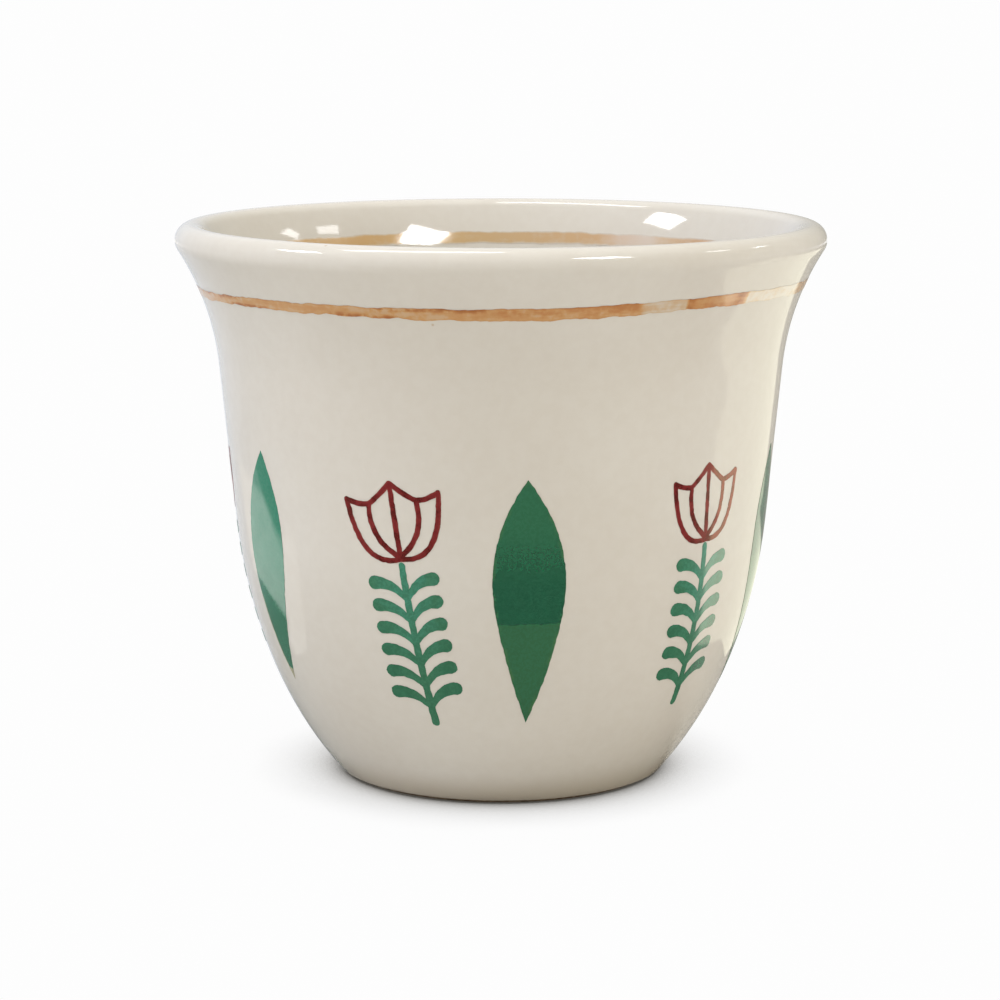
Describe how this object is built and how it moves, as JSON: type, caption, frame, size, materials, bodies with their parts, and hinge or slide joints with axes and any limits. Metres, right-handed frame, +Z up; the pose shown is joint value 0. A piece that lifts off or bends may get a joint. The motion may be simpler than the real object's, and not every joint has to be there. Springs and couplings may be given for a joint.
{
  "type": "arabic coffee cup",
  "caption": "Small handleless bell-shaped coffee cup in cream glaze, with a rolled lip, painted brush lines and a border of leaves and tulips.",
  "frame": {"origin": "centre of the circle that the foot ring stands on, at table height", "axes": "+Z up along the axis of the cup, -Y towards the front leaf of the border"},
  "size_m": [0.066, 0.066, 0.0565],
  "materials": {
    "clay": "bare fired clay, matt",
    "glaze": "cream glaze, glossy",
    "line_enamel": "brushed orange-brown enamel, glossy",
    "green_enamel": "green enamel, glossy",
    "red_enamel": "maroon enamel, glossy"
  },
  "bodies": {
    "root": {"clay_body": "clay", "wall_glaze": "glaze", "foot_well_glaze": "glaze", "outer_line": "line_enamel", "inner_line": "line_enamel", "leaf_1": "green_enamel", "leaf_2": "green_enamel", "leaf_3": "green_enamel", "leaf_4": "green_enamel", "leaf_5": "green_enamel", "tulip_1": "red_enamel", "tulip_2": "red_enamel", "tulip_3": "red_enamel", "tulip_4": "red_enamel", "tulip_5": "red_enamel", "sprig_1": "green_enamel", "sprig_2": "green_enamel", "sprig_3": "green_enamel", "sprig_4": "green_enamel", "sprig_5": "green_enamel"}
  },
  "joints": []
}
